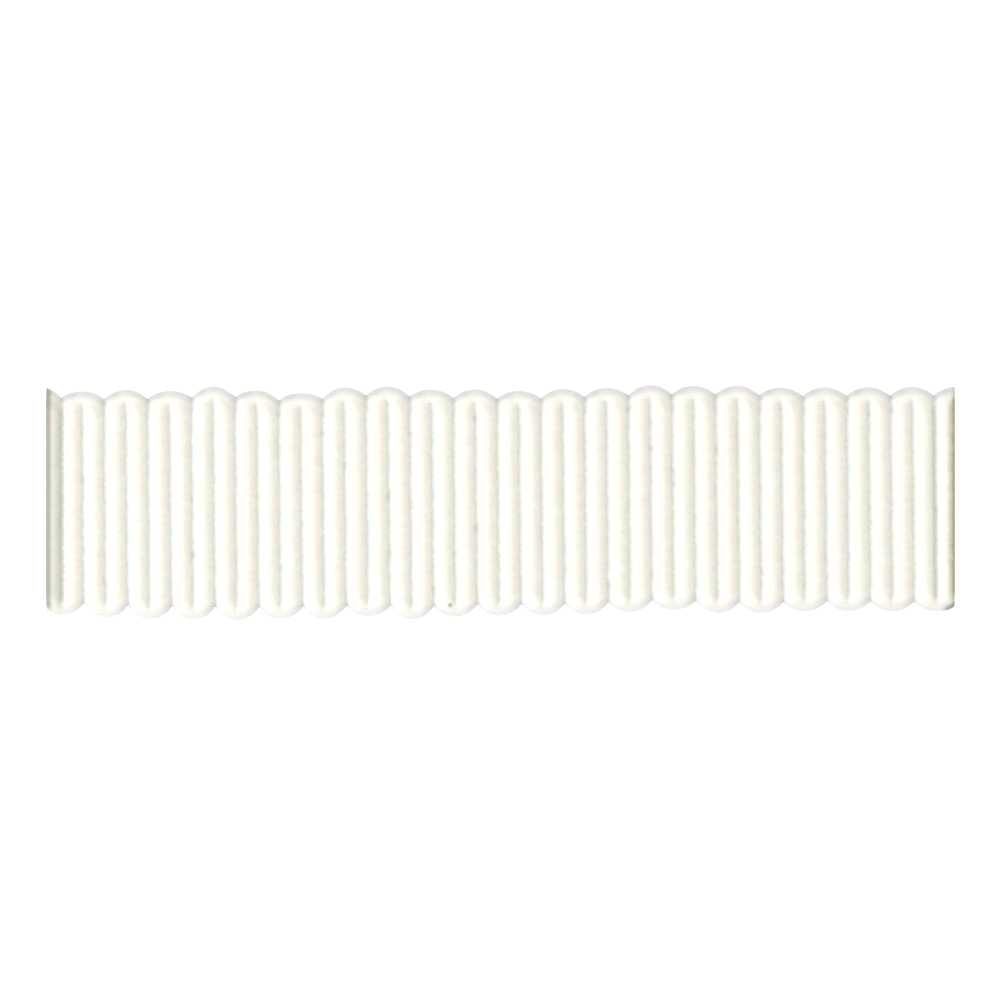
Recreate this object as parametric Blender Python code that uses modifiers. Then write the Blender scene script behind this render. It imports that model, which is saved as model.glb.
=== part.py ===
"""A short cut length of grosgrain ribbon, lying flat with its ribbed face up.

Metres, +Z up. X runs along the ribbon and Y across it, from one looped edge to the other.
The ribs lie across the ribbon: each is one pass of a thick weft cord with the fine warp
packed over it. At the edges the bare cord turns back into the next rib, so each edge is a
row of shallow loops, and the loops of the two edges join different pairs of ribs.
The underside's rib crests lie on Z = 0, with the origin under the middle of the ribbon.
"""

import math

import bmesh
import bpy

# Sizes of the ribbon. The end ribs are the shares of a rib that the two cuts leave.
RIB_PITCH = 0.000968
WHOLE_RIBS = 40
LEFT_END_RIB = 0.7
RIGHT_END_RIB = 0.9
WIDTH = 0.0100
THICKNESS = 0.0010
GROOVE_THICKNESS = 0.00040
CREST_SHARE = 0.2

# The bare cord at the edges, and how far in the warp starts to cover it and covers it all
CORD_THICKNESS = 0.00058
NOTCH_THICKNESS = 0.00020
LOOP_RISE = 0.00042
COVER_START = 0.00029
COVER_END = 0.00084

# How unevenly the ribbon lies: its edges climb to the right, and its ribs lean to the left
EDGE_CLIMB = 0.00022
RIB_LEAN = 0.00005
LEAN_START = 3.0

# Loops that reach further out than the rest, or less far, by their number from the left
UPPER_REACH = {
    -1: 0.00012, 3: 0.00019, 5: -0.00013, 6: 0.00010, 7: 0.00012,
    10: -0.00008, 13: 0.00010, 14: 0.00010, 15: 0.00010,
}
LOWER_REACH = {
    0: -0.00012, 3: 0.00005, 4: 0.00008, 5: 0.00010, 6: 0.00010,
    8: 0.00015, 13: -0.00005, 14: -0.00012,
}

# Points of the surface: columns along the ribbon, and rows set in from each edge
STEPS_PER_RIB = 5
EDGE_ROWS = (0.0, 0.00009, 0.00029, 0.00056, 0.00084)
MIDDLE_STRIPS = 3
MERGE_DISTANCE = 0.000001
SMOOTH_LIMIT = math.radians(60)

IVORY = (0.92, 0.90, 0.82, 1.0)
SATIN_ROUGHNESS = 0.6

LENGTH = (LEFT_END_RIB + WHOLE_RIBS + RIGHT_END_RIB) * RIB_PITCH
LEFT_CUT = -LEFT_END_RIB
RIGHT_CUT = WHOLE_RIBS + RIGHT_END_RIB
LOOP_RADIUS = (RIB_PITCH ** 2 + LOOP_RISE ** 2) / (2 * LOOP_RISE)
UPPER_EDGE = 1
LOWER_EDGE = -1


def clear_scene():
    """Remove what a new file holds."""
    for thing in list(bpy.data.objects):
        bpy.data.objects.remove(thing)


def smooth_step(value):
    """Ease from 0 to 1, and stay there outside that range."""
    share = min(max(value, 0.0), 1.0)
    return share * share * (3.0 - 2.0 * share)


def column_places():
    """Places along the ribbon, counted in ribs from the first whole rib's left groove."""
    last_step = (WHOLE_RIBS + 1) * STEPS_PER_RIB
    steps = [step / STEPS_PER_RIB for step in range(1 - STEPS_PER_RIB, last_step)]
    inner = [place for place in steps if LEFT_CUT < place < RIGHT_CUT]
    return [LEFT_CUT] + inner + [RIGHT_CUT]


def loop_at(place, edge):
    """The loop that a place lies on: its number, and how many ribs the place is past its crest."""
    first_crest = 1 if edge == UPPER_EDGE else 0
    number = math.floor((place - first_crest + 1) / 2)
    return number, place - first_crest - 2 * number


def reach_at(place, edge):
    """How much further than a plain loop the edge reaches here, eased from crest to crest."""
    reaches = UPPER_REACH if edge == UPPER_EDGE else LOWER_REACH
    number, offset = loop_at(place, edge)
    neighbour = number + (1 if offset > 0 else -1)
    own = reaches.get(number, 0.0)
    return own + (reaches.get(neighbour, 0.0) - own) * smooth_step(abs(offset) / 2)


def edge_distance(place, edge):
    """Distance of the looped outline from the ribbon's middle line."""
    offset = loop_at(place, edge)[1] * RIB_PITCH
    drop = LOOP_RADIUS - math.sqrt(LOOP_RADIUS ** 2 - offset ** 2)
    return WIDTH / 2 - drop + reach_at(place, edge)


def rib_half(place):
    """Half thickness of a covered rib: round, with a narrow flat crest."""
    from_crest = abs(2 * (place - math.floor(place)) - 1)
    rise = math.sqrt(1 - from_crest ** 2) / math.sqrt(1 - CREST_SHARE ** 2)
    return (GROOVE_THICKNESS + (THICKNESS - GROOVE_THICKNESS) * min(rise, 1.0)) / 2


def cord_half(place, edge, inset):
    """Half thickness of the bare cord where it turns, thin in the notch between two loops."""
    offset = abs(loop_at(place, edge)[1])
    flank = max(2 * offset - 1, 0.0)
    full = NOTCH_THICKNESS + (CORD_THICKNESS - NOTCH_THICKNESS) * math.sqrt(1 - flank ** 2)
    slope = math.asin(offset * RIB_PITCH / LOOP_RADIUS)
    depth = min(2 * inset * math.cos(slope) / CORD_THICKNESS, 1.0)
    return full / 2 * math.sqrt(depth * (2 - depth))


def half_thickness(place, edge, inset):
    """Half thickness a little in from an edge: bare cord, then the warp that covers it."""
    covered = smooth_step((inset - COVER_START) / (COVER_END - COVER_START))
    bare = cord_half(place, edge, inset)
    return bare + (rib_half(place) - bare) * covered


def cross_section(place):
    """The upper surface's points in one column, as (across, half thickness)."""
    lower = -edge_distance(place, LOWER_EDGE)
    upper = edge_distance(place, UPPER_EDGE)
    start = lower + EDGE_ROWS[-1]
    strip = (upper - EDGE_ROWS[-1] - start) / MIDDLE_STRIPS
    points = [(lower + inset, half_thickness(place, LOWER_EDGE, inset)) for inset in EDGE_ROWS]
    points += [(start + strip * number, rib_half(place)) for number in range(1, MIDDLE_STRIPS)]
    points += [(upper - inset, half_thickness(place, UPPER_EDGE, inset)) for inset in reversed(EDGE_ROWS)]
    return points


def lean_at(place, across):
    """Sideways lean of a rib away from the middle line, none at the two cuts."""
    held = smooth_step((place - LEFT_CUT) / LEAN_START) * smooth_step(RIGHT_CUT - place)
    return -RIB_LEAN * held * across / (WIDTH / 2)


def surface_point(place, across, half):
    """A point of the upper surface, measured from the middle of the ribbon's thickness."""
    along = (place - LEFT_CUT) * RIB_PITCH - LENGTH / 2
    climb = EDGE_CLIMB * along / LENGTH
    return along + lean_at(place, across), across + climb, half


def upper_half():
    """The open upper half of the ribbon: a grid laid on the ribs, with a wall at each cut."""
    places = column_places()
    sections = [cross_section(place) for place in places]
    last_column = len(places) - 1
    last_row = len(sections[0]) - 1
    half = bmesh.new()
    bmesh.ops.create_grid(half, x_segments=last_column, y_segments=last_row, size=0.5)
    for point in half.verts:
        column = round((point.co.x + 0.5) * last_column)
        row = round((point.co.y + 0.5) * last_row)
        point.co = surface_point(places[column], *sections[column][row])
    for cut in (-LENGTH / 2, LENGTH / 2):
        rim = [edge for edge in half.edges if all(abs(v.co.x - cut) < MERGE_DISTANCE for v in edge.verts)]
        wall = bmesh.ops.extrude_edge_only(half, edges=rim)["geom"]
        for point in wall:
            if isinstance(point, bmesh.types.BMVert):
                point.co.z = 0.0
    bmesh.ops.remove_doubles(half, verts=half.verts, dist=MERGE_DISTANCE)
    bmesh.ops.recalc_face_normals(half, faces=half.faces)
    return half


def ivory_satin():
    """Warm white polyester, dull with a little sheen."""
    material = bpy.data.materials.new("ivory_satin")
    material.use_nodes = True
    shader = material.node_tree.nodes["Principled BSDF"]
    shader.inputs["Base Color"].default_value = IVORY
    shader.inputs["Roughness"].default_value = SATIN_ROUGHNESS
    shader.inputs["Metallic"].default_value = 0.0
    return material


def make_ribbon(collection):
    """The whole ribbon: the upper half mirrored through the middle of its thickness."""
    mesh = bpy.data.meshes.new("ribbon")
    half = upper_half()
    half.to_mesh(mesh)
    half.free()
    mesh.shade_smooth()
    mesh.set_sharp_from_angle(angle=SMOOTH_LIMIT)
    mesh.materials.append(ivory_satin())
    ribbon = bpy.data.objects.new("ribbon", mesh)
    ribbon.location.z = THICKNESS / 2
    collection.objects.link(ribbon)
    mirror = ribbon.modifiers.new("underside", "MIRROR")
    mirror.use_axis = (False, False, True)
    mirror.use_mirror_merge = True
    mirror.merge_threshold = MERGE_DISTANCE
    return ribbon


clear_scene()
parts = bpy.data.collections.new("grosgrain_ribbon")
bpy.context.scene.collection.children.link(parts)
make_ribbon(parts)
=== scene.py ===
import math

import bmesh
import bpy
import numpy as np
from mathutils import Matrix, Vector


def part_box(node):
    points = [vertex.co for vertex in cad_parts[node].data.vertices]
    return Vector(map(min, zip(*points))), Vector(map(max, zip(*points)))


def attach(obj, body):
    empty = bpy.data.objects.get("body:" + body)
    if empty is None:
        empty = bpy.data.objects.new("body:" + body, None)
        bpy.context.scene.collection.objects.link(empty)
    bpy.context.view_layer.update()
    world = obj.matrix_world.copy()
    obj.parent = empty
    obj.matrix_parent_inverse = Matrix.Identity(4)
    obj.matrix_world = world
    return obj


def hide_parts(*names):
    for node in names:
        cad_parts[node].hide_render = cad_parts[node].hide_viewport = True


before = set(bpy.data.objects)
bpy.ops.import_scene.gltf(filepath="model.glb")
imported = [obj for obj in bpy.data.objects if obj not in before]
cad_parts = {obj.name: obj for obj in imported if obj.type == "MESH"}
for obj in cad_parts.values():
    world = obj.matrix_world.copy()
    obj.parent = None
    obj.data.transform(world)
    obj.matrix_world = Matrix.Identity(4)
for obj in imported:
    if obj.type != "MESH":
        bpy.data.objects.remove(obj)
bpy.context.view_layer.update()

# The woven ribbon: a narrow polyester grosgrain. One thick weft cord runs to and fro, and fine warp
# ends, packed edge to edge, pass over and under each pass of the cord, which makes the round ribs.
# Past the last warp end the bare cord turns back into the next rib, so both edges are looped.

LEFT_END_RIB = 0.7
WHOLE_RIBS = 40
RIGHT_END_RIB = 0.9
LEFT_CUT = -LEFT_END_RIB
RIGHT_CUT = WHOLE_RIBS + RIGHT_END_RIB
BOX_LOW, BOX_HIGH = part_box("ribbon")
LENGTH = BOX_HIGH.x - BOX_LOW.x
THICKNESS = BOX_HIGH.z - BOX_LOW.z
RIB_PITCH = LENGTH / (RIGHT_CUT - LEFT_CUT)
WIDTH = 0.0100
GROOVE_THICKNESS = 0.00046
CORD_THICKNESS = 0.00066
NOTCH_THICKNESS = 0.00024
RIB_FLATNESS = 3.0
GROOVE_ROUND = 0.17
FLAT_CREST = 0.24
EDGE_CLIMB = 0.00022
RIB_LEAN = 0.00005
LEAN_START = 3.0
UPPER_EDGE = 1
LOWER_EDGE = -1

# How far in from each edge the warp starts to cover the cord, and covers it all
UPPER_COVER = (0.00038, 0.00093)
LOWER_COVER = (0.00029, 0.00084)

# Depth of the notches between the loops, at the left cut and at the right one
UPPER_RISE = (0.00039, 0.00039)
LOWER_RISE = (0.00062, 0.00042)

# Loops that reach further out than the rest, or less far, by their number from the left
UPPER_REACH = {
    -1: 0.00020, 1: 0.00006, 3: 0.00019, 5: -0.00013, 6: 0.00012, 7: 0.00015,
    10: -0.00008, 12: 0.00003, 13: 0.00014, 14: 0.00010, 15: 0.00010,
}
LOWER_REACH = {
    0: -0.00005, 1: 0.00008, 2: 0.00015, 3: 0.00017, 4: 0.00021, 5: 0.00017, 6: 0.00019,
    7: 0.00008, 8: 0.00024, 9: 0.00012, 10: 0.00009, 11: 0.00009, 12: 0.00006,
    13: -0.00005, 14: -0.00012, 15: 0.00002, 16: 0.00004, 17: -0.00003, 18: -0.00003,
    21: 0.00025,
}

# The warp: ends side by side across the ribbon. On each rib every other end floats on the face,
# so the floats of one rib stand between those of the next, and the grooves run in a fine zigzag.
WARP_ENDS = 60
WARP_START = CORD_THICKNESS / 2 - WIDTH / 2
WARP_PITCH = -2 * WARP_START / WARP_ENDS
ZIGZAG = 0.000006
CREST_DIP = 0.000006
FLANK_DIP = 0.000024

# Each groove wavers in its own way: waves by number, length and share. None of that is at a cut,
# and all of it half a rib further in.
WAVER = 0.000014
WAVES = ((0, 0.0037, 0.9), (1, 0.0013, 0.8), (2, 0.00061, 0.6))
GROOVE_TURNS = np.random.default_rng(7).uniform(0, 2 * math.pi, (WHOLE_RIBS + 3, len(WAVES)))
FREE_START = 0.5

# The scissors pinch the last of the rib at each cut, and the cord lies back between the warp's tips
PINCH = 0.18
PINCH_RIBS = 0.28
CUT_HOLLOW = 0.00004

# Columns of points in each rib, by share of the pitch, and rows of points across the ribbon
COLUMNS = (0.0, 0.045, 0.10, 0.20, 0.38, 0.62, 0.80, 0.90, 0.955)
CUT_CLEARANCE = 0.02
WALL_COLUMNS = 3
ROWS_PER_END = 2
RIM_ROWS = 5
EDGE_FADE = 0.0016
MERGE_DISTANCE = 0.0000005
SHARP_ANGLE = math.radians(75)

# What the material reads from the mesh, and the margin round each face on the ribbon's own map
POINT_VALUES = ("cover", "share", "floats")
MAPS = ("OFBake", "weave", "turn")
BAKE_MARGIN = 0.01
MM_PER_METRE = 1000


def smooth_step(value):
    """Ease from 0 to 1, and stay there outside that range."""
    share = np.clip(value, 0.0, 1.0)
    return share * share * (3.0 - 2.0 * share)


def rise_from(from_crest):
    """Height of a rib or a loop, 1 over its flat crest: full and round, with a rounded groove."""
    place = np.append(np.asarray(from_crest, float).ravel(), FLAT_CREST)
    into_rib = np.sqrt((1 - place) ** 2 + GROOVE_ROUND ** 2) - GROOVE_ROUND
    whole = math.sqrt(1 + GROOVE_ROUND ** 2) - GROOVE_ROUND
    rise = 1 - (1 - into_rib / whole) ** RIB_FLATNESS
    return np.minimum(rise[:-1] / rise[-1], 1.0).reshape(np.shape(from_crest))


def past_crest(place, edge):
    """The loop's number at each place along the ribbon, and how many ribs it is past the crest."""
    first_crest = 1 if edge == UPPER_EDGE else 0
    number = np.floor((place - first_crest + 1) / 2)
    return number.astype(int), place - first_crest - 2 * number


def loop_outline(place, edge):
    """How far the looped outline lies in from its crests, and how steeply it runs there."""
    first, last = UPPER_RISE if edge == UPPER_EDGE else LOWER_RISE
    rise = first + (last - first) * (place - LEFT_CUT) / (RIGHT_CUT - LEFT_CUT)
    radius = (RIB_PITCH ** 2 + rise ** 2) / (2 * rise)
    past = past_crest(place, edge)[1] * RIB_PITCH
    return radius - np.sqrt(radius ** 2 - past ** 2), np.arcsin(past / radius)


def edge_distance(place, edge):
    """Distance of the looped outline from the ribbon's middle line."""
    reaches = UPPER_REACH if edge == UPPER_EDGE else LOWER_REACH
    number, offset = past_crest(place, edge)
    neighbour = number + np.where(offset > 0, 1, -1)
    own = np.array([reaches.get(loop, 0.0) for loop in number])
    other = np.array([reaches.get(loop, 0.0) for loop in neighbour])
    reach = own + (other - own) * smooth_step(abs(offset) / 2)
    return WIDTH / 2 - loop_outline(place, edge)[0] + reach


def bare_half(place, edge, inset):
    """Half thickness of the bare cord where it turns, thin in the notch between two loops."""
    offset = abs(past_crest(place, edge)[1])
    flank = np.maximum(2 * offset - 1, 0.0)
    full = NOTCH_THICKNESS + (CORD_THICKNESS - NOTCH_THICKNESS) * rise_from(flank)
    slope = loop_outline(place, edge)[1]
    depth = np.minimum(2 * inset * np.cos(slope) / CORD_THICKNESS, 1.0)
    return full / 2 * np.sqrt(depth * (2 - depth))


def covered_half(from_crest, float_here):
    """Half thickness of a covered rib, less where a warp end dives under the cord."""
    rise = rise_from(from_crest)
    covered = (GROOVE_THICKNESS + (THICKNESS - GROOVE_THICKNESS) * rise) / 2
    dip = CREST_DIP + (FLANK_DIP - CREST_DIP) * from_crest ** 2
    return covered - dip * np.sqrt(rise) * (1 - float_here) / 2


def warp_cover(inset, is_upper):
    """How much of the cord the warp covers: none at the edge, and all of it further in."""
    start = np.where(is_upper, UPPER_COVER[0], LOWER_COVER[0])
    stop = np.where(is_upper, UPPER_COVER[1], LOWER_COVER[1])
    return smooth_step((inset - start) / (stop - start))


def moved_along(place, across, from_crest, beat):
    """How far the ribs' lean, the warp's zigzag and the grooves' wavering move a point along."""
    held = smooth_step((place - LEFT_CUT) / LEAN_START) * smooth_step(RIGHT_CUT - place)
    lean = -RIB_LEAN * held * across / (WIDTH / 2)
    from_left = smooth_step((place - LEFT_CUT) / FREE_START)
    free = from_left * smooth_step((RIGHT_CUT - place) / FREE_START)
    zigzag = ZIGZAG * np.cos(math.pi * place) * beat * free
    groove = np.round(place).astype(int) + 1
    waver = np.zeros_like(across)
    for wave, length, share_of_all in WAVES:
        turn = 2 * math.pi * across / length + GROOVE_TURNS[groove, wave]
        waver += share_of_all * np.sin(turn)
    return lean + zigzag + WAVER * waver * from_crest ** 2 * free


def column_places():
    """Places along the ribbon in ribs, and each column's share of the ribbon's height."""
    ribs = np.arange(-1, WHOLE_RIBS + 1)
    places = (ribs[:, None] + np.array(COLUMNS)).ravel()
    first, last = LEFT_CUT + CUT_CLEARANCE, RIGHT_CUT - CUT_CLEARANCE
    inner = places[(places > first) & (places < last)]
    wall = np.arange(WALL_COLUMNS) / WALL_COLUMNS
    left_wall, right_wall = ([cut] * (WALL_COLUMNS + 1) for cut in (LEFT_CUT, RIGHT_CUT))
    along = np.concatenate([left_wall, inner, right_wall])
    share = np.concatenate([wall, np.ones(len(inner) + 2), wall[::-1]])
    return along, share


def row_levels():
    """Nominal distances of the rows from the middle line, closer together round the rims."""
    rim = CORD_THICKNESS / 2 * (1 - np.cos(np.linspace(0, math.pi / 2, RIM_ROWS + 1)))
    warp = WARP_START + np.arange(WARP_ENDS * ROWS_PER_END + 1) * WARP_PITCH / ROWS_PER_END
    return np.concatenate([rim[:-1] - WIDTH / 2, warp, WIDTH / 2 - rim[-2::-1]])


def rows_across(places):
    """Where each row lies across the ribbon, how far in from its edge, and which edge that is."""
    level = np.repeat(row_levels()[None, :], len(places), 0)
    is_upper = level > 0
    upper = edge_distance(places, UPPER_EDGE)[:, None]
    lower = edge_distance(places, LOWER_EDGE)[:, None]
    pull = 1 - smooth_step((WIDTH / 2 - abs(level)) / EDGE_FADE)
    across = level + np.where(is_upper, upper - WIDTH / 2, WIDTH / 2 - lower) * pull
    inset = np.where(is_upper, upper - across, across + lower)
    return across, np.maximum(inset, 0.0), is_upper


def woven_surface(face):
    """Points of the ribbon's upper (1) or under (-1) face, with what the material reads there."""
    places, share = column_places()
    across, inset, is_upper = rows_across(places)
    rows = across.shape[1]
    place = np.repeat(places[:, None], rows, 1)
    share = np.repeat(share[:, None], rows, 1)
    cover = warp_cover(inset, is_upper)
    from_crest = abs(2 * (place - np.floor(place)) - 1)
    end = (across - WARP_START) / WARP_PITCH
    beat = np.cos(math.pi * (end - 0.5)) * face
    rib = np.floor(place) + 1
    float_here = beat * (1 - 2 * (rib % 2))

    upper_bare = bare_half(place, UPPER_EDGE, inset)
    bare = np.where(is_upper, upper_bare, bare_half(place, LOWER_EDGE, inset))
    covered = covered_half(from_crest, float_here)
    from_cut = np.minimum(place - LEFT_CUT, RIGHT_CUT - place)
    pinch = 1 - PINCH * (1 - smooth_step(from_cut / PINCH_RIBS))
    half = (bare + (covered - bare) * cover) * share * pinch
    along = (place - LEFT_CUT) * RIB_PITCH - LENGTH / 2
    hollow = CUT_HOLLOW * (1 - share ** 2) * np.where(place < 0, 1, -1)
    x = along + moved_along(place, across, from_crest, beat * cover) + hollow
    y = across + EDGE_CLIMB * along / LENGTH
    z = THICKNESS / 2 + face * half

    upper_offset = past_crest(place, UPPER_EDGE)[1]
    offset = np.where(is_upper, upper_offset, past_crest(place, LOWER_EDGE)[1])
    values = {"cover": cover, "share": share, "floats": float_here}
    maps = {"weave": (place, end), "turn": (offset, inset * MM_PER_METRE)}
    return np.stack([x, y, z], -1), values, maps


def bake_place(along, across, face):
    """Place on the ribbon's own map, where the upper face lies over the under face."""
    strip = 0.5 - 2 * BAKE_MARGIN
    low = 0.5 + BAKE_MARGIN if face > 0 else BAKE_MARGIN
    return BAKE_MARGIN + along * (1 - 2 * BAKE_MARGIN), low + across * strip


def add_face(band, face, layers):
    """Lay one face of the ribbon as a grid whose rim lies in the middle of the thickness."""
    points, values, maps = woven_surface(face)
    last_column, last_row = points.shape[0] - 1, points.shape[1] - 1
    grid = bmesh.ops.create_grid(band, x_segments=last_column, y_segments=last_row, size=0.5)
    faces = {piece for point in grid["verts"] for piece in point.link_faces}
    cells = {}
    for point in grid["verts"]:
        column = round((point.co.x + 0.5) * last_column)
        row = round((point.co.y + 0.5) * last_row)
        cells[point] = (column, row)
    for piece in faces:
        for corner in piece.loops:
            column, row = cells[corner.vert]
            corner[layers["OFBake"]].uv = bake_place(column / last_column, row / last_row, face)
            for name, (first, second) in maps.items():
                corner[layers[name]].uv = (first[column, row], second[column, row])
    for point, cell in cells.items():
        for name, value in values.items():
            point[layers[name]] = value[cell]
        point.co = points[cell]
    if face < 0:
        bmesh.ops.reverse_faces(band, faces=list(faces))


def make_ribbon():
    """The whole ribbon as one closed mesh, its two faces joined along the rim."""
    band = bmesh.new()
    for name in POINT_VALUES:
        band.verts.layers.float.new(name)
    for name in MAPS:
        band.loops.layers.uv.new(name)
    layers = {name: band.verts.layers.float[name] for name in POINT_VALUES}
    layers.update({name: band.loops.layers.uv[name] for name in MAPS})
    for face in (1, -1):
        add_face(band, face, layers)
    bmesh.ops.remove_doubles(band, verts=band.verts, dist=MERGE_DISTANCE)
    for piece in band.faces:
        piece.smooth = True
    mesh = bpy.data.meshes.new("woven_ribbon")
    band.to_mesh(mesh)
    band.free()
    mesh.set_sharp_from_angle(angle=SHARP_ANGLE)
    ribbon = bpy.data.objects.new("woven_ribbon", mesh)
    bpy.context.scene.collection.objects.link(ribbon)
    return ribbon


def screen_colour(red, green, blue):
    """A colour as it looks on a screen, from 0 to 255, as the light it stands for."""
    parts = [value / 255 for value in (red, green, blue)]
    light = [part / 12.92 if part <= 0.04045 else ((part + 0.055) / 1.055) ** 2.4 for part in parts]
    return (*light, 1.0)


IVORY = screen_colour(253, 251, 241)
CREAM = screen_colour(250, 247, 231)
BLUSH = screen_colour(251, 244, 234)
DULL_CREAM = screen_colour(244, 242, 232)
# The loops' bare cord: less yellow than the ivory by its own colour, and greyer by painted rim
# shade
BARE_CORD_AND_RIM_SHADE = screen_colour(236, 235, 231)
# Painted shade in the grooves, and darker specks of it
GROOVE_SHADE_GREY = screen_colour(227, 231, 227)
GROOVE_SPECK_SHADE_GREY = screen_colour(204, 207, 200)
END_RIB_GREY = screen_colour(227, 230, 217)
END_RIB_CREAM = screen_colour(238, 232, 223)
# Painted shade in the first and last grooves, and on the last rib where it falls away at the right
# cut
END_GROOVE_SHADE_GREY = screen_colour(206, 211, 201)
FALLING_END_SHADE_CREAM = screen_colour(223, 216, 176)
CUT_GREY = screen_colour(164, 165, 152)
# Painted shade round the rims of the loops, wider on the upper loops' left flanks
RIM_SHADE_GREY = screen_colour(212, 211, 211)
FLANK_SHADE_GREY = screen_colour(212, 212, 210)
CORNER_GREY = screen_colour(152, 155, 148)
# Painted shadow in a small gap by the lower edge
PIT_SHADOW_GREY = screen_colour(168, 169, 164)
CORE_GREY = screen_colour(198, 196, 183)
TIP_CREAM = screen_colour(224, 220, 204)

# Patches in the cloth by kind, the last two only in the painted groove shade: noise scale to the
# metre, its detail, the noise at which they start and are full, and their least and most strength
PATCHES = {
    "warm": (1400, 3, 0.30, 0.70, 0.0, 1.0),
    "pink": (1000, 2, 0.38, 0.62, 0.0, 0.8),
    "dull": (3200, 3, 0.40, 0.75, 0.0, 0.9),
    "groove": (2600, 1, 0.35, 0.65, 0.55, 0.9),
    "shade_speck": (1500, 0, 0.72, 0.80, 0.0, 0.4),
}

# Bands in from the edges, in millimetres: where they start, and where they are full or gone
BARE_BAND = (0.25, 0.55)
GROOVE_BAND = (0.45, 0.70)
LINE_BAND = (0.30, 0.70)
RIM_BAND = (0.05, 0.30)
FLANK_BAND = (0.12, 0.40)
CORNER_BAND = (0.05, 0.35)

# Where the lower corners and the upper edge begin across the ribbon, in metres
LOWER_SIDE = (-0.0042, -0.0046)
UPPER_SIDE = (0.0036, 0.0040)

# The grooves: where their shade starts and is full, in half ribs from a rib's crest, and between
# two loops in ribs from a loop's crest
GROOVE_SHIFT = 0.02
GROOVE_FLANK = (0.60, 0.90)
BETWEEN_LOOPS = (0.55, 0.95)
DIVE_SHADE = 0.08

# The cut ribs: how far tufts and teeth reach, and where tints and painted shade along the ribbon
# start and end, all in ribs from the first groove, the last one or a cut
TUFT_SCALE = 2300
TUFT_REACH = 0.14
TIP_RAG = 0.006
TOOTH_REACH = 0.03
END_RIB_FADE = (0.0, 0.2)
FIRST_GROOVE_RISE = (-0.18, 0.02)
FIRST_GROOVE_FADE = (0.05, 0.22)
LAST_GROOVE_RISE = (WHOLE_RIBS - 0.25, WHOLE_RIBS - 0.03)
LAST_GROOVE_FADE = (WHOLE_RIBS + 0.02, WHOLE_RIBS + 0.15)
LAST_GROOVE_SHADE = 0.6
FALLING_END_SHADE = (RIGHT_CUT - 0.42, RIGHT_CUT - 0.16)
LEFT_LINE = (LEFT_CUT + 0.10, LEFT_CUT + 0.36)
RIGHT_LINE = (RIGHT_CUT - 0.22, RIGHT_CUT - 0.04)
LINE_AT_EDGE = 0.5
CORNER_RIBS = (RIGHT_CUT - 0.75, RIGHT_CUT - 0.25)

# The rims' painted shade past each loop's crest, in ribs: full on the left flank, and weaker on the
# right one and along the upper edge, where the left flanks have a wider painted shade of their own
RIM_TURN = (-0.7, 0.7)
RIM_RIGHT_SHADE = 0.3
UPPER_RIM_LOSS = 0.4
FLANK_TURN = (-0.6, -0.1)

# Painted shadow of a small gap by a lower loop, where the last warp end stands off the cord
PIT_PLACE = (-0.00224, -0.00459, 0.00085)
PIT_RADIUS = 0.00017

# The cut faces: warp tips over and under the cord's core, and how frayed the tips are
FACE_SHARE = (0.98, 1.0)
TIP_FLOATS = (0.1, 0.7)
TIP_SHARE = (0.35, 0.60)
TIP_FRAY = (0.3, 0.6)
LEAST_FRAY = 0.5

# The threads: fibres and filaments, their height, and how rough the satin is
FIBRE_SCALE = 9000
FIBRE_DETAIL = 4
FIBRE_RANGE = (0.3, 0.7)
FILAMENT_STRETCH = (2.0, 22.0)
THREAD_HEIGHT = 0.7
FILAMENT_HEIGHT = 2.0
BUMP_STRENGTH = 0.5
BUMP_DISTANCE = 0.00002
SATIN_ROUGHNESS = (0.56, 0.68)
SATIN_SHINE = 0.25

ivory_grosgrain = bpy.data.materials.new("ivory_grosgrain")
ivory_grosgrain.use_nodes = True
nodes = ivory_grosgrain.node_tree.nodes
link = ivory_grosgrain.node_tree.links.new
cloth = nodes["Principled BSDF"]


def joined(value, socket):
    """Put a plain value or another node's output on a socket."""
    if isinstance(value, bpy.types.NodeSocket):
        link(value, socket)
    else:
        socket.default_value = value


def maths(operation, *values):
    """A maths node on outputs or plain numbers."""
    node = nodes.new("ShaderNodeMath")
    node.operation = operation
    for value, socket in zip(values, node.inputs):
        joined(value, socket)
    return node.outputs[0]


def times(first, second):
    """Two values multiplied."""
    return maths("MULTIPLY", first, second)


def eased(value, band, low=0.0, high=1.0):
    """A value eased from low to high over a band."""
    node = nodes.new("ShaderNodeMapRange")
    node.interpolation_type = "SMOOTHSTEP"
    names = ("From Min", "From Max", "To Min", "To Max")
    for name, number in zip(names, (*band, low, high)):
        node.inputs[name].default_value = number
    link(value, node.inputs["Value"])
    return node.outputs["Result"]


def faded(value, band):
    """1 before a band, eased to 0 past it."""
    return eased(value, band, 1.0, 0.0)


def mixed(factor, first, second):
    """One colour turning into another."""
    node = nodes.new("ShaderNodeMix")
    node.data_type = "RGBA"
    joined(factor, node.inputs["Factor"])
    for name, value in (("A", first), ("B", second)):
        joined(value, next(s for s in node.inputs if s.name == name and s.type == "RGBA"))
    return next(s for s in node.outputs if s.type == "RGBA")


def noise(scale, detail, place):
    """Cloudy noise on a place."""
    node = nodes.new("ShaderNodeTexNoise")
    node.inputs["Scale"].default_value = scale
    node.inputs["Detail"].default_value = detail
    link(place, node.inputs["Vector"])
    return node.outputs["Fac"]


def patches(kind):
    """Soft patches of one kind in the cloth."""
    scale, detail, start, full, least, most = PATCHES[kind]
    return eased(noise(scale, detail, spot), (start, full), least, most)


def on_map(name):
    """A place on one of the ribbon's maps."""
    own_map = nodes.new("ShaderNodeUVMap")
    own_map.uv_map = name
    return own_map.outputs["UV"]


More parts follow.
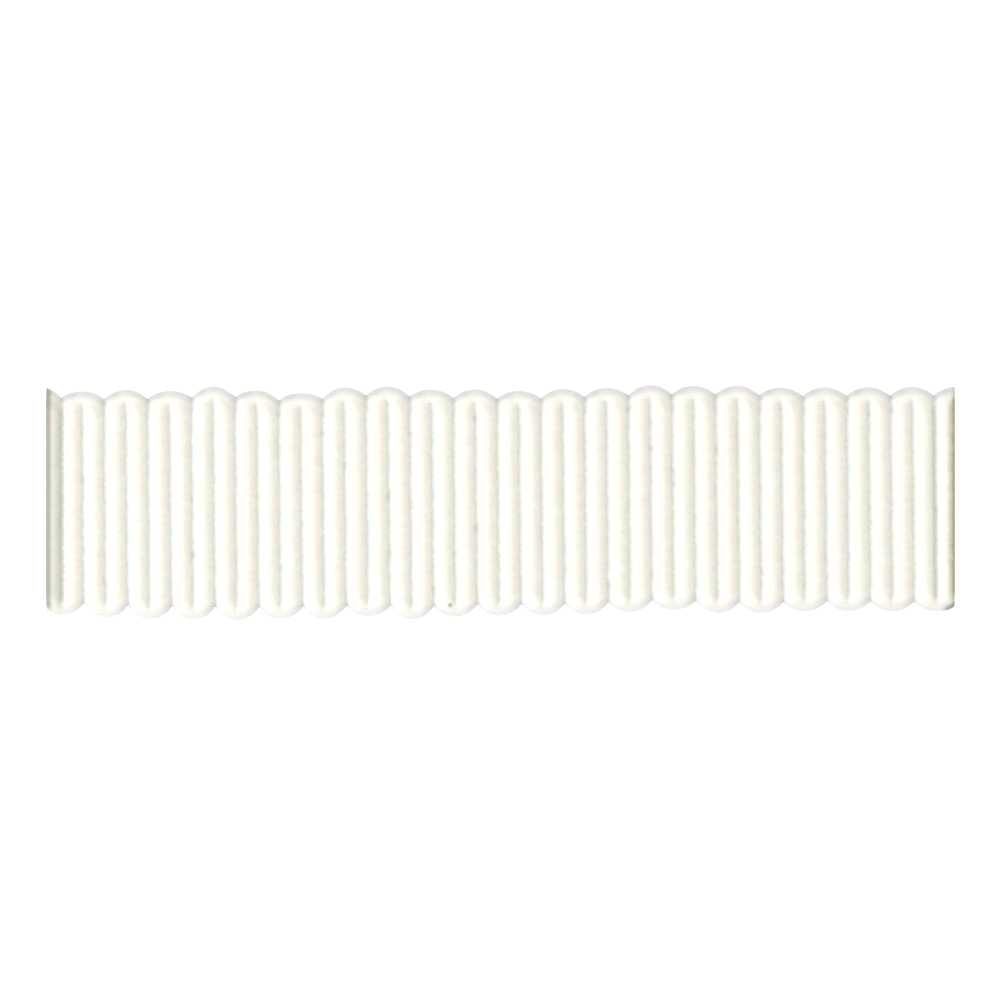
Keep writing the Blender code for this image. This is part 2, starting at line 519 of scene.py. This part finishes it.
def parts_of(vector):
    """The first two parts of a place."""
    parts = nodes.new("ShaderNodeSeparateXYZ")
    link(vector, parts.inputs["Vector"])
    return parts.outputs["X"], parts.outputs["Y"]


def vector_node(operation, vector, other):
    """A vector maths node on a place and a plain vector."""
    node = nodes.new("ShaderNodeVectorMath")
    node.operation = operation
    link(vector, node.inputs[0])
    node.inputs[1].default_value = other
    return node


def painted(name):
    """A value kept at the ribbon's points."""
    node = nodes.new("ShaderNodeAttribute")
    node.attribute_name = name
    return node.outputs["Fac"]


# Where a point of the cloth lies: its place in metres, its rib and warp end, how many ribs it is
# past its loop's crest and how many millimetres in from the edge, and what the mesh keeps for it
spot = nodes.new("ShaderNodeTexCoord").outputs["Object"]
across_spot = parts_of(spot)[1]
ribs, ends = parts_of(on_map("weave"))
past_turn, inset = parts_of(on_map("turn"))
cover = painted("cover")
share = painted("share")
across_turn = maths("SINE", times(ends, math.pi))
bare = faded(inset, BARE_BAND)
lower_side = eased(across_spot, LOWER_SIDE)
upper_side = eased(across_spot, UPPER_SIDE)
fibres = noise(FIBRE_SCALE, FIBRE_DETAIL, spot)


def body_colour():
    """Ivory, warmer, pinker and duller in soft patches, with the bare cord of the loops greyer."""
    body = mixed(patches("warm"), IVORY, CREAM)
    body = mixed(patches("pink"), body, BLUSH)
    body = mixed(patches("dull"), body, DULL_CREAM)
    # The bare cord's band near the rims: its own less yellow grey, and painted shade where the
    # loops turn down
    return mixed(bare, body, BARE_CORD_AND_RIM_SHADE)


def groove_shaded_colour(body):
    """Painted groove shade: greyer, darkest where a warp end dives between two floats."""
    from_groove = maths("FRACT", maths("SUBTRACT", ribs, GROOVE_SHIFT))
    from_crest = maths("ABSOLUTE", maths("SUBTRACT", times(from_groove, 2.0), 1.0))
    from_turn = maths("ABSOLUTE", past_turn)
    between = maths("MAXIMUM", eased(inset, GROOVE_BAND), eased(from_turn, BETWEEN_LOOPS))
    in_groove = times(eased(from_crest, GROOVE_FLANK), between)
    along_turn = maths("COSINE", times(ribs, math.pi))
    dive = eased(times(along_turn, across_turn), (0.0, 1.0))
    depth = times(in_groove, maths("ADD", times(dive, DIVE_SHADE), patches("groove")))
    groove_shaded = mixed(depth, body, GROOVE_SHADE_GREY)
    # Darker specks of painted shade, only in the grooves
    return mixed(times(in_groove, patches("shade_speck")), groove_shaded, GROOVE_SPECK_SHADE_GREY)


def cut_colour(groove_shaded):
    """The two cut ribs: greyer, with a toothed first groove and a ragged line at the scissors."""
    tufts = times(maths("SUBTRACT", noise(TUFT_SCALE, 1, spot), 0.5), TUFT_REACH)
    tufts = maths("ADD", tufts, times(across_turn, TIP_RAG))
    ragged = maths("ADD", ribs, times(tufts, cover))
    toothed = maths("SUBTRACT", ragged, times(across_turn, TOOTH_REACH))
    # Painted shade in the toothed first groove and in the last groove
    first_groove = times(eased(ragged, FIRST_GROOVE_RISE), faded(toothed, FIRST_GROOVE_FADE))
    last_groove = times(eased(ribs, LAST_GROOVE_RISE), LAST_GROOVE_SHADE)
    last_groove = times(last_groove, faded(ribs, LAST_GROOVE_FADE))
    end_tint = mixed(patches("warm"), END_RIB_GREY, END_RIB_CREAM)
    dulled = mixed(faded(ribs, END_RIB_FADE), groove_shaded, end_tint)
    dulled = mixed(times(maths("ADD", first_groove, last_groove), cover), dulled, END_GROOVE_SHADE_GREY)
    # Painted shade on the last rib where it falls away at the right cut
    end_shaded = mixed(times(eased(ragged, FALLING_END_SHADE), cover), dulled, FALLING_END_SHADE_CREAM)
    line_share = maths("MAXIMUM", eased(inset, LINE_BAND, LINE_AT_EDGE, 1.0), lower_side)
    right_line = times(eased(ragged, RIGHT_LINE), line_share)
    return mixed(maths("MAXIMUM", faded(ribs, LEFT_LINE), right_line), end_shaded, CUT_GREY)


def rim_shaded_colour(cut):
    """Painted shade round the loops' rims, darker at the lower right corner and in the small gap.
    """
    turn_share = eased(past_turn, RIM_TURN, 1.0, RIM_RIGHT_SHADE)
    edge_share = maths("SUBTRACT", 1.0, times(upper_side, UPPER_RIM_LOSS))
    turn_share = times(turn_share, edge_share)
    rim = mixed(times(faded(inset, RIM_BAND), turn_share), cut, RIM_SHADE_GREY)
    flank_share = times(faded(inset, FLANK_BAND), faded(past_turn, FLANK_TURN))
    # A wider painted shade on the left flanks of the upper loops
    rim = mixed(times(flank_share, upper_side), rim, FLANK_SHADE_GREY)
    corner = times(eased(ribs, CORNER_RIBS), faded(inset, CORNER_BAND))
    rim = mixed(times(corner, lower_side), rim, CORNER_GREY)
    from_pit = vector_node("DISTANCE", spot, PIT_PLACE).outputs["Value"]
    # A dark spot of painted shadow for the small gap
    return mixed(faded(from_pit, (0.0, PIT_RADIUS)), rim, PIT_SHADOW_GREY)


def tip_colour():
    """The cut faces: the cord's grey core between two rows of frayed cream warp tips."""
    tip = times(eased(painted("floats"), TIP_FLOATS), eased(share, TIP_SHARE))
    frayed = times(tip, eased(fibres, TIP_FRAY, LEAST_FRAY, 1.0))
    return mixed(frayed, CORE_GREY, TIP_CREAM)


def thread_height():
    """Height of the threads: round warp ends, fine filaments in the bare cord, and fibres."""
    threads = times(maths("ABSOLUTE", across_turn), THREAD_HEIGHT)
    stretched = vector_node("MULTIPLY", on_map("turn"), (*FILAMENT_STRETCH, 1.0))
    filaments = noise(1.0, 2, stretched.outputs["Vector"])
    yarn = maths("ADD", threads, times(times(filaments, bare), FILAMENT_HEIGHT))
    return maths("ADD", yarn, fibres)


rim = rim_shaded_colour(cut_colour(groove_shaded_colour(body_colour())))
link(mixed(faded(share, FACE_SHARE), rim, tip_colour()), cloth.inputs["Base Color"])
link(eased(fibres, FIBRE_RANGE, *SATIN_ROUGHNESS), cloth.inputs["Roughness"])
cloth.inputs["Specular IOR Level"].default_value = SATIN_SHINE
bump = nodes.new("ShaderNodeBump")
bump.inputs["Strength"].default_value = BUMP_STRENGTH
bump.inputs["Distance"].default_value = BUMP_DISTANCE
link(thread_height(), bump.inputs["Height"])
link(bump.outputs["Normal"], cloth.inputs["Normal"])

ribbon = make_ribbon()
ribbon.data.materials.append(ivory_grosgrain)
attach(ribbon, "root")
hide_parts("ribbon")

# The floor and the light: a plain white sheet under the ribbon, which glows a little so that it
# stays white, an even white room, and one broad lamp low on the left.

FLOOR_SIZE = 0.6
FLOOR_WHITE = (0.95, 0.95, 0.95, 1.0)
FLOOR_ROUGHNESS = 0.9
FLOOR_GLOW = 0.5
ROOM_LIGHT = 0.785
LAMP_SIZE = (0.25, 0.35)
LAMP_POWER = 0.98
LAMP_PLACE = Vector((-0.29, -0.13, 0.26))
PURE_WHITE = (1.0, 1.0, 1.0, 1.0)

floor_mesh = bpy.data.meshes.new("floor")
sheet = bmesh.new()
bmesh.ops.create_grid(sheet, x_segments=1, y_segments=1, size=FLOOR_SIZE)
sheet.to_mesh(floor_mesh)
sheet.free()
floor = bpy.data.objects.new("floor", floor_mesh)
bpy.context.scene.collection.objects.link(floor)
floor_white = bpy.data.materials.new("floor_white")
floor_white.use_nodes = True
floor_shader = floor_white.node_tree.nodes["Principled BSDF"]
floor_shader.inputs["Base Color"].default_value = FLOOR_WHITE
floor_shader.inputs["Roughness"].default_value = FLOOR_ROUGHNESS
floor_shader.inputs["Specular IOR Level"].default_value = 0.0
floor_shader.inputs["Emission Color"].default_value = PURE_WHITE
floor_shader.inputs["Emission Strength"].default_value = FLOOR_GLOW
floor_mesh.materials.append(floor_white)

room = bpy.data.worlds.new("white_room")
room.use_nodes = True
background = room.node_tree.nodes["Background"]
background.inputs["Color"].default_value = PURE_WHITE
background.inputs["Strength"].default_value = ROOM_LIGHT
bpy.context.scene.world = room

lamp_data = bpy.data.lights.new("broad_lamp", "AREA")
lamp_data.shape = "RECTANGLE"
lamp_data.size, lamp_data.size_y = LAMP_SIZE
lamp_data.energy = LAMP_POWER
lamp = bpy.data.objects.new("broad_lamp", lamp_data)
lamp.location = LAMP_PLACE
lamp.rotation_mode = "QUATERNION"
lamp.rotation_quaternion = (-LAMP_PLACE).to_track_quat("-Z", "Y")
bpy.context.scene.collection.objects.link(lamp)

bpy.context.scene.view_settings.view_transform = "Standard"

# The camera: straight above, with a long lens, and framed as in the photo, where the ribbon's
# middle lies half a pixel right of the picture's own and a pixel and a half below it.

PHOTO_SIDE = 1000
RIBBON_PIXELS = 908
RIGHT_OF_MIDDLE = 0.5
BELOW_MIDDLE = 1.5
LENS = 200.0
NEAREST = 0.01
FURTHEST = 10.0
PIXEL = LENGTH / RIBBON_PIXELS
camera_data = bpy.data.cameras.new("camera")
camera_data.lens = LENS
camera_data.clip_start = NEAREST
camera_data.clip_end = FURTHEST
camera = bpy.data.objects.new("camera", camera_data)
distance = PIXEL * PHOTO_SIDE * LENS / camera_data.sensor_width
camera.location = (-RIGHT_OF_MIDDLE * PIXEL, BELOW_MIDDLE * PIXEL, THICKNESS / 2 + distance)
bpy.context.scene.collection.objects.link(camera)
bpy.context.scene.camera = camera
